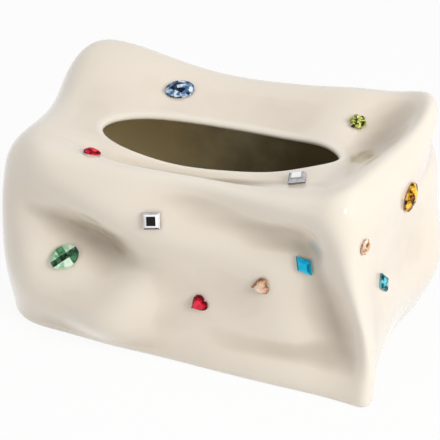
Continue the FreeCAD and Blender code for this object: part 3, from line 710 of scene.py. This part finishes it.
# The painted reflection tones of a square's table, its outer and its inner tier and its sides: first of a
# stone whose table is painted with a lamp's reflection, then of one whose table is painted with the dark's.
SQUARE_REFLECTION_TONES = ((0.98, 0.5, 0.6, 0.3, 0.6, 0.5, 0.85, 0.7, 0.45, 0.25),
                (0.0, 0.75, 0.55, 0.8, 0.3, 1.0, 0.9, 1.0, 1.0, 0.2))
# The tone at the rim, how strongly facets are drawn to it, and where, in shares of the half size, that
# starts and over how long a way it grows.
RIM_TONE, RIM_SHARE = 0.42, 0.35
RIM_START_SHARE, RIM_GROWTH_SHARE = 0.5, 0.4
TONE_CONTRAST = 4.0
# The steps of the sine for a facet's number and for a stone's seed, and its size.
NUMBER_STEP, SEED_STEP, SINE_SIZE = 12.9898, 78.233, 43758.5453


def painted_facet_reflections(cut, corners, facets, seed):
    """A painted reflection tone from 0 to 1 for each facet, standing in for the foil's mirrored light:
    scattered by the loose end of a large sine of the facet's number, pushed to both ends, and drawn back to
    the glass's own colour at the rim. A square and a heart have painted tones of their own."""
    numbers = np.array([number for _, number in facets])
    scattered = np.modf(np.abs(np.sin(numbers * NUMBER_STEP + seed * SEED_STEP)) * SINE_SIZE)[0]
    pushed = 0.5 + 0.5 * np.tanh(TONE_CONTRAST * (scattered - 0.5)) / np.tanh(TONE_CONTRAST / 2)
    middles = np.array([corners[facet, :2].mean(0) for facet, _ in facets]) / CUT_SIZES[cut][:2] * 2
    rim = ease((np.linalg.norm(middles, axis=1) - RIM_START_SHARE) / RIM_GROWTH_SHARE)
    tones = pushed + (RIM_TONE - pushed) * RIM_SHARE * rim
    if cut == "square":
        return np.take(SQUARE_REFLECTION_TONES[seed % 2], np.minimum(numbers, len(SQUARE_REFLECTION_TONES[0])) - 1)
    if cut == "heart":
        ring = np.clip((numbers - FIRST_SIDE) // HEART_SIDES, 0, len(HEART_REFLECTION_TONES) - 1)
        tones = np.take(HEART_REFLECTION_TONES, ring) + HEART_SCATTER * (scattered - 0.5)
    return np.where(numbers == TABLE, TABLE_REFLECTION_TONES[cut], tones)


# Shards of painted reflection to a metre, and the tones at which a glass shows a painted dark reflection,
# its own colour, and a painted pale reflection.
SHARDS_TO_A_METRE = 420.0
REFLECTION_TONE_STOPS = (0.08, 0.5, 0.94)


def glass(name, colours, shattered):
    """Foiled glass with its reflections painted in: each facet has its own tone, more or less broken into
    sharp-edged shards, which stand for what the foil mirrors, from a painted near black through the glass's
    own colour to a painted pale of the lamps."""
    material, start, output = new_material(name)
    place = start.node("ShaderNodeTexCoord", out="Object")
    # Each facet's tone is a painted reflection of lamps and dark surroundings.
    tone = start.node("ShaderNodeAttribute", {"attribute_name": "tone"}, out="Fac")
    shards = start.node("ShaderNodeTexVoronoi", {"feature": "F1"},
                        {"Vector": place, "Scale": SHARDS_TO_A_METRE}, "Color")
    shard = start.node("ShaderNodeSeparateColor", None, {0: shards}, 0)
    shown = (tone + (shard - 0.5) * shattered).clamped()
    stops = [(stop, (*colour, 1)) for stop, colour in zip(REFLECTION_TONE_STOPS, colours)]
    colour = start.node("ShaderNodeValToRGB", {"stops": stops}, {0: shown}, "Color")
    surfaced(start, output, Base_Color=colour, Roughness=0.05, IOR=1.55, Specular_IOR_Level=0.1)
    return material


# The painted dark reflection, own colour and painted pale reflection of each glass, and how far its facets
# break into shards.
GLASS_COLOURS = {
    "blue": (((0.004, 0.007, 0.02), (0.12, 0.25, 0.46), (0.80, 0.87, 0.93)), 0.7),
    "peridot": (((0.015, 0.018, 0.001), (0.28, 0.30, 0.03), (0.74, 0.78, 0.26)), 0.8),
    "red": (((0.09, 0.0, 0.004), (0.60, 0.002, 0.018), (0.93, 0.06, 0.10)), 0.25),
    "clear": (((0.012, 0.012, 0.012), (0.36, 0.36, 0.38), (0.97, 0.97, 0.97)), 0.12),
    "green": (((0.010, 0.03, 0.016), (0.12, 0.36, 0.17), (0.70, 0.86, 0.68)), 0.3),
    "peach": (((0.24, 0.11, 0.05), (0.75, 0.46, 0.29), (1.0, 0.82, 0.68)), 0.35),
    "aqua": (((0.0, 0.11, 0.19), (0.0, 0.42, 0.72), (0.06, 0.68, 0.90)), 0.12),
    "amber": (((0.03, 0.008, 0.0), (0.48, 0.18, 0.004), (1.0, 0.62, 0.07)), 0.8),
    "teal": (((0.0, 0.03, 0.05), (0.002, 0.12, 0.18), (0.16, 0.64, 0.72)), 0.9),
}
GLASS = {name: glass(name + "_glass", *finish) for name, finish in GLASS_COLOURS.items()}

# The rhombus's cuts, each with a rise in degrees and the shares of the outline and of the crown at which it
# touches: the lower and the upper tier along its sides, and the small cuts that take off its ends.
RHOMBUS_LOWER = (38, 1, 0)
RHOMBUS_UPPER = (64, 0.72, 0.7)
RHOMBUS_ENDS = (48, 0.93, 0.2)


def rhombus_cuts(size, outline):
    """Two tiers along the four sides, and small cuts that take off the ends."""
    height, girdle = size[2], size[3]
    edges = np.roll(outline, -1, 0) - outline
    sides = np.arctan2(-edges[:, 0], edges[:, 1])
    ends = np.arctan2(outline[:, 1], outline[:, 0])
    made = [flat_cuts(height)]
    for turns, (rise, share, level) in ((sides, RHOMBUS_LOWER), (sides, RHOMBUS_UPPER),
                                        (ends, RHOMBUS_ENDS)):
        made.append(tier(outline, turns, np.radians(rise), share, girdle + (height - girdle) * level))
    return joined(*made, tier(outline, sides, 0))


def cut_stone(cut, seed):
    """The corners and facets of a stone at the origin, by its cut. An oval's lattice is turned by an eighth
    of a turn where its seed is odd, and moved by half a step for every third seed."""
    size = CUT_SIZES[cut]
    half = np.array(size[:2]) / 2
    if cut == "large_oval":
        return ground(*checkered(size, np.pi / 4 * (seed % 2), 0.5 * (seed % 3 == 1)))
    if cut == "small_oval":
        return ground(*stepped(size, oval_outline(half), OVAL_SIDES, 0.5, TIERS[cut]))
    if cut == "pear":
        return ground(*stepped(size, pear_outline(half), OVAL_SIDES, 0.5, TIERS[cut]))
    if cut == "square":
        outline = np.array(((1, 1), (-1, 1), (-1, -1), (1, -1))) * half
        return ground(*stepped(size, outline, len(outline), 0, TIERS[cut]))
    if cut == "rhombus":
        outline = np.array(((1, 0), (0, 1), (-1, 0), (0, -1))) * half
        return ground(*rhombus_cuts(size, outline))
    if cut == "heart":
        return stacked(size, heart_outline(half), HEART_RING_SHARES)
    return petals(size)


# Each stone's cut and glass, its place in shares of the way round the skin and of the way up and over
# it, its turn in degrees, and the seed of its painted reflection tones. The last eight are on the back and
# the left end.
STONE_PLACE_SHARES = {
    "blue_oval": ("large_oval", "blue", 0.441, 0.514, 34, 1),
    "peridot_flower": ("flower", "peridot", 0.234, 0.508, 14, 2),
    "red_pear": ("pear", "red", 0.773, 0.452, 22, 3),
    "clear_square_top": ("square", "clear", 0.989, 0.530, 5, 4),
    "clear_square_front": ("square", "clear", 0.839, 0.376, 4, 5),
    "green_oval": ("large_oval", "green", 0.762, 0.248, 32, 6),
    "red_heart": ("heart", "red", 0.875, 0.190, -55, 7),
    "peach_heart": ("heart", "peach", 0.928, 0.260, -81, 8),
    "aqua_rhombus": ("rhombus", "aqua", 0.970, 0.312, -52, 9),
    "amber_oval": ("large_oval", "amber", 0.131, 0.349, 78, 25),
    "peach_oval": ("small_oval", "peach", 0.044, 0.345, 55, 11),
    "teal_rhombus": ("rhombus", "teal", 0.081, 0.233, -77, 31),
    "back_amber_oval": ("large_oval", "amber", 0.287, 0.302, 22, 14),
    "back_clear_square": ("square", "clear", 0.341, 0.196, 8, 15),
    "back_red_heart": ("heart", "red", 0.383, 0.334, 26, 16),
    "back_aqua_rhombus": ("rhombus", "aqua", 0.427, 0.224, -35, 17),
    "back_green_oval": ("large_oval", "green", 0.500, 0.239, 61, 18),
    "left_blue_oval": ("large_oval", "blue", 0.583, 0.287, 75, 19),
    "left_peach_heart": ("heart", "peach", 0.617, 0.171, -15, 20),
    "left_red_pear": ("pear", "red", 0.640, 0.300, 110, 21),
}
for name, (cut, colour, round_share, up_share, turn, seed) in STONE_PLACE_SHARES.items():
    base, ways = stone_seat(cut, round_share, up_share, np.radians(turn))
    corners, facets = cut_stone(cut, seed)
    stone = add_piece(name + "_cut_glass", base + corners @ ways, [facet for facet, _ in facets],
                      GLASS[colour], name + "_stone", False)
    # Each facet's tone is a painted reflection.
    tone = stone.data.attributes.new("tone", "FLOAT", "FACE")
    tone.data.foreach_set("value", painted_facet_reflections(cut, corners, facets, seed).astype(np.float32))

# The cement. A dab of clear epoxy under each stone, pressed out to a film that fills the hollow between
# the stone's flat back and the curved glaze. It keeps its solid's own shape.

CEMENT = (0.74, 0.70, 0.62, 1)
CEMENT_MILKY = (0.82, 0.79, 0.72, 1)
CEMENT_CLOUDS_TO_A_METRE = 700
MILKY_SHARES = (0.35, 0.65)
CEMENT_GLOSS, CEMENT_GLOSS_SPREAD = 0.2, 0.2


def cement():
    """Set epoxy, in the colour of the glaze that shows through it: milky in clouds, which are duller too."""
    material, start, output = new_material("clear_cement")
    place = start.node("ShaderNodeTexCoord", out="Object")
    clouds = place.noise(CEMENT_CLOUDS_TO_A_METRE, CLOUD_DETAIL)
    surfaced(start, output, Base_Color=clouds.between(*MILKY_SHARES).mixed(CEMENT, CEMENT_MILKY),
             Roughness=CEMENT_GLOSS + clouds * CEMENT_GLOSS_SPREAD)
    return material


cement_finish = cement()
for name in STONE_PLACE_SHARES:
    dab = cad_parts[name + "_glue"]
    dab.data.materials.clear()
    dab.data.materials.append(cement_finish)

# The floor. A pale matt table top under the cover, which takes its shadow. It is far wider than the cover,
# so that its edge doesn't show.

FLOOR_SIZE = 12.0
FLOOR_COLOUR = (0.86, 0.855, 0.845, 1)
FLOOR_GLOW_SHARE = 0.92
# Half the length and half the depth of the dark space under the cover, and where its soft edge starts.
COVERED = (0.126, 0.072)
COVERED_EDGE_SHARE = 0.6


def seen_rays(start):
    """1 for what the camera sees, straight, in a mirror or through glass, and 0 for light on its way."""
    light = start.tree.nodes.new("ShaderNodeLightPath")
    straight, mirrored, through = (Wire(start.tree, light.outputs[name]) for name in
                                   ("Is Camera Ray", "Is Glossy Ray", "Is Transmission Ray"))
    return (straight + mirrored + through).clamped()


def floor_finish():
    """A pale matt floor that keeps its shadow, and glows part way to white for the camera and in mirrors,
    but not in the dark under the cover, where the fourth powers of x and y, over its half size, add up to
    less than 1."""
    material, start, output = new_material("pale_floor")
    place = start.node("ShaderNodeTexCoord", out="Object")
    along = start.node("ShaderNodeSeparateXYZ", None, {0: place}, "X") * (1 / COVERED[0])
    across = start.node("ShaderNodeSeparateXYZ", None, {0: place}, "Y") * (1 / COVERED[1])
    along, across = along * along, across * across
    uncovered = (along * along + across * across).between(COVERED_EDGE_SHARE, 1)
    glowing = seen_rays(start) * uncovered * FLOOR_GLOW_SHARE
    matt = start.node("ShaderNodeBsdfPrincipled", None, {"Base Color": FLOOR_COLOUR, "Roughness": 0.9})
    glow = start.node("ShaderNodeEmission", None, {"Color": (1, 1, 1, 1), "Strength": 1.0})
    mixed = start.node("ShaderNodeMixShader", None, {0: glowing, 1: matt, 2: glow})
    start.tree.links.new(mixed.socket, output.inputs["Surface"])
    return material


reach = FLOOR_SIZE / 2
floor_mesh = bpy.data.meshes.new("floor")
floor_corners = [(-reach, -reach, 0), (reach, -reach, 0), (reach, reach, 0), (-reach, reach, 0)]
floor_mesh.from_pydata(floor_corners, [], [(0, 1, 2, 3)])
floor_mesh.materials.append(floor_finish())
floor = bpy.data.objects.new("floor", floor_mesh)
bpy.context.scene.collection.objects.link(floor)

# The light. A white surround, which the camera and mirrors see in full and which lights the cover weakly,
# and four soft lamps: the key from the right, one overhead, a fill in front and a small glint.

WORLD_FILL = 0.17
world = bpy.data.worlds.new("studio")
world.use_nodes = True
world.node_tree.nodes.clear()
air = Wire(world.node_tree)
brightness = WORLD_FILL + seen_rays(air) * (1 - WORLD_FILL)
sky = air.node("ShaderNodeBackground", None, {"Color": (1, 1, 1, 1), "Strength": brightness})
air.tree.links.new(sky.socket, world.node_tree.nodes.new("ShaderNodeOutputWorld").inputs["Surface"])
bpy.context.scene.world = world

# Each lamp's place, the size of its soft box and its power. Only the glint shows in the gloss.
LAMPS = {
    "key_lamp": ((1.6, -0.35, 0.95), 1.0, 27.0),
    "top_lamp": ((-0.4, 0.1, 1.6), 1.6, 11.0),
    "fill_lamp": ((-0.55, -1.2, 0.5), 0.8, 3.9),
    "glint_lamp": ((1.6, -1.1, 1.3), 0.25, 1.5),
}
for name, (place, size, power) in LAMPS.items():
    lamp_data = bpy.data.lights.new(name, "AREA")
    lamp_data.size = size
    lamp_data.energy = power
    lamp = bpy.data.objects.new(name, lamp_data)
    lamp.location = place
    to_body = np.array((0, 0, BODY[2] / 2)) - place
    lamp.rotation_mode = "QUATERNION"
    lamp.rotation_quaternion = Vector(to_body).to_track_quat("-Z", "Y")
    lamp.visible_glossy = name == "glint_lamp"
    bpy.context.scene.collection.objects.link(lamp)

# The camera. It looks down on the front from the right, from about a metre away, with a long lens, whose
# focal length is given in pixels of the picture.

CAMERA_PLACE = (0.35295, -0.84694, 0.60298)
CAMERA_TURN = np.radians((60, 0, 22.5))
CAMERA_SENSOR = 36.0
FOCAL_PIXELS, PICTURE_PIXELS = 1500, 440
camera_data = bpy.data.cameras.new("camera")
camera_data.sensor_width = CAMERA_SENSOR
camera_data.lens = CAMERA_SENSOR * (FOCAL_PIXELS / PICTURE_PIXELS)
camera = bpy.data.objects.new("camera", camera_data)
camera.location = CAMERA_PLACE
camera.rotation_euler = CAMERA_TURN
bpy.context.scene.collection.objects.link(camera)
bpy.context.scene.camera = camera
bpy.context.scene.view_settings.view_transform = "Standard"
